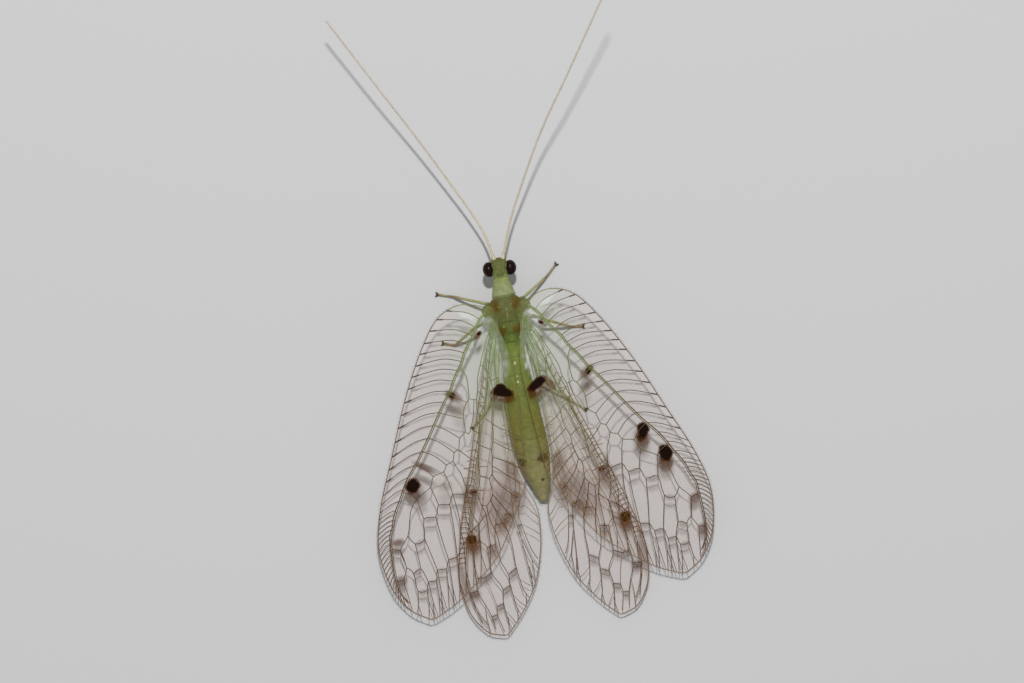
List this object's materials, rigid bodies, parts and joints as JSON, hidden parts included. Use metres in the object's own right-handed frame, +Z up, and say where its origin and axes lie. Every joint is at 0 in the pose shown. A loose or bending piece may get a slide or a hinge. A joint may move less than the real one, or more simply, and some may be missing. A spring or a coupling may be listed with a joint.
{
  "type": "green lacewing",
  "caption": "Life-size green lacewing at rest, dorsal side up: broad veined wings spread low over a slender green body, dark round eyes and long raised feelers.",
  "frame": {"origin": "on the ground plane, under the middle of the whole insect's box", "axes": "+Z up through the back, +Y towards the tail, the head towards -Y, +X towards the insect's own left"},
  "size_m": [0.0254, 0.0476, 0.0107],
  "materials": {
    "cuticle": "smooth waxy green cuticle with brown-orange marks, finely haired",
    "pronotum": "pale grey-green satin cuticle",
    "eye": "wet gloss, very dark maroon, finely faceted",
    "leg": "satin straw green, with brown claws",
    "feeler": "satin straw, ringed along its length",
    "wing": "clear glossy membrane with raised green to brown veins and soft dark spots"
  },
  "bodies": {
    "root": {"abdomen_1": "cuticle", "abdomen_2": "cuticle", "abdomen_3": "cuticle", "abdomen_4": "cuticle", "abdomen_5": "cuticle", "abdomen_6": "cuticle", "abdomen_7": "cuticle", "abdomen_8": "cuticle", "antenna_left_flagellum": "feeler", "antenna_left_scape": "feeler", "antenna_right_flagellum": "feeler", "antenna_right_scape": "feeler", "eye_left": "eye", "eye_right": "eye", "forewing_left": "wing", "forewing_right": "wing", "head": "cuticle", "hindwing_left": "wing", "hindwing_right": "wing", "leg_fore_left_coxa": "leg", "leg_fore_left_femur": "leg", "leg_fore_left_tarsus": "leg", "leg_fore_left_tibia": "leg", "leg_fore_right_coxa": "leg", "leg_fore_right_femur": "leg", "leg_fore_right_tarsus": "leg", "leg_fore_right_tibia": "leg", "leg_hind_left_coxa": "leg", "leg_hind_left_femur": "leg", "leg_hind_left_tarsus": "leg", "leg_hind_left_tibia": "leg", "leg_hind_right_coxa": "leg", "leg_hind_right_femur": "leg", "leg_hind_right_tarsus": "leg", "leg_hind_right_tibia": "leg", "leg_mid_left_coxa": "leg", "leg_mid_left_femur": "leg", "leg_mid_left_tarsus": "leg", "leg_mid_left_tibia": "leg", "leg_mid_right_coxa": "leg", "leg_mid_right_femur": "leg", "leg_mid_right_tarsus": "leg", "leg_mid_right_tibia": "leg", "mesothorax": "cuticle", "metathorax": "cuticle", "mouthparts": "feeler", "prothorax": "pronotum"}
  },
  "joints": []
}
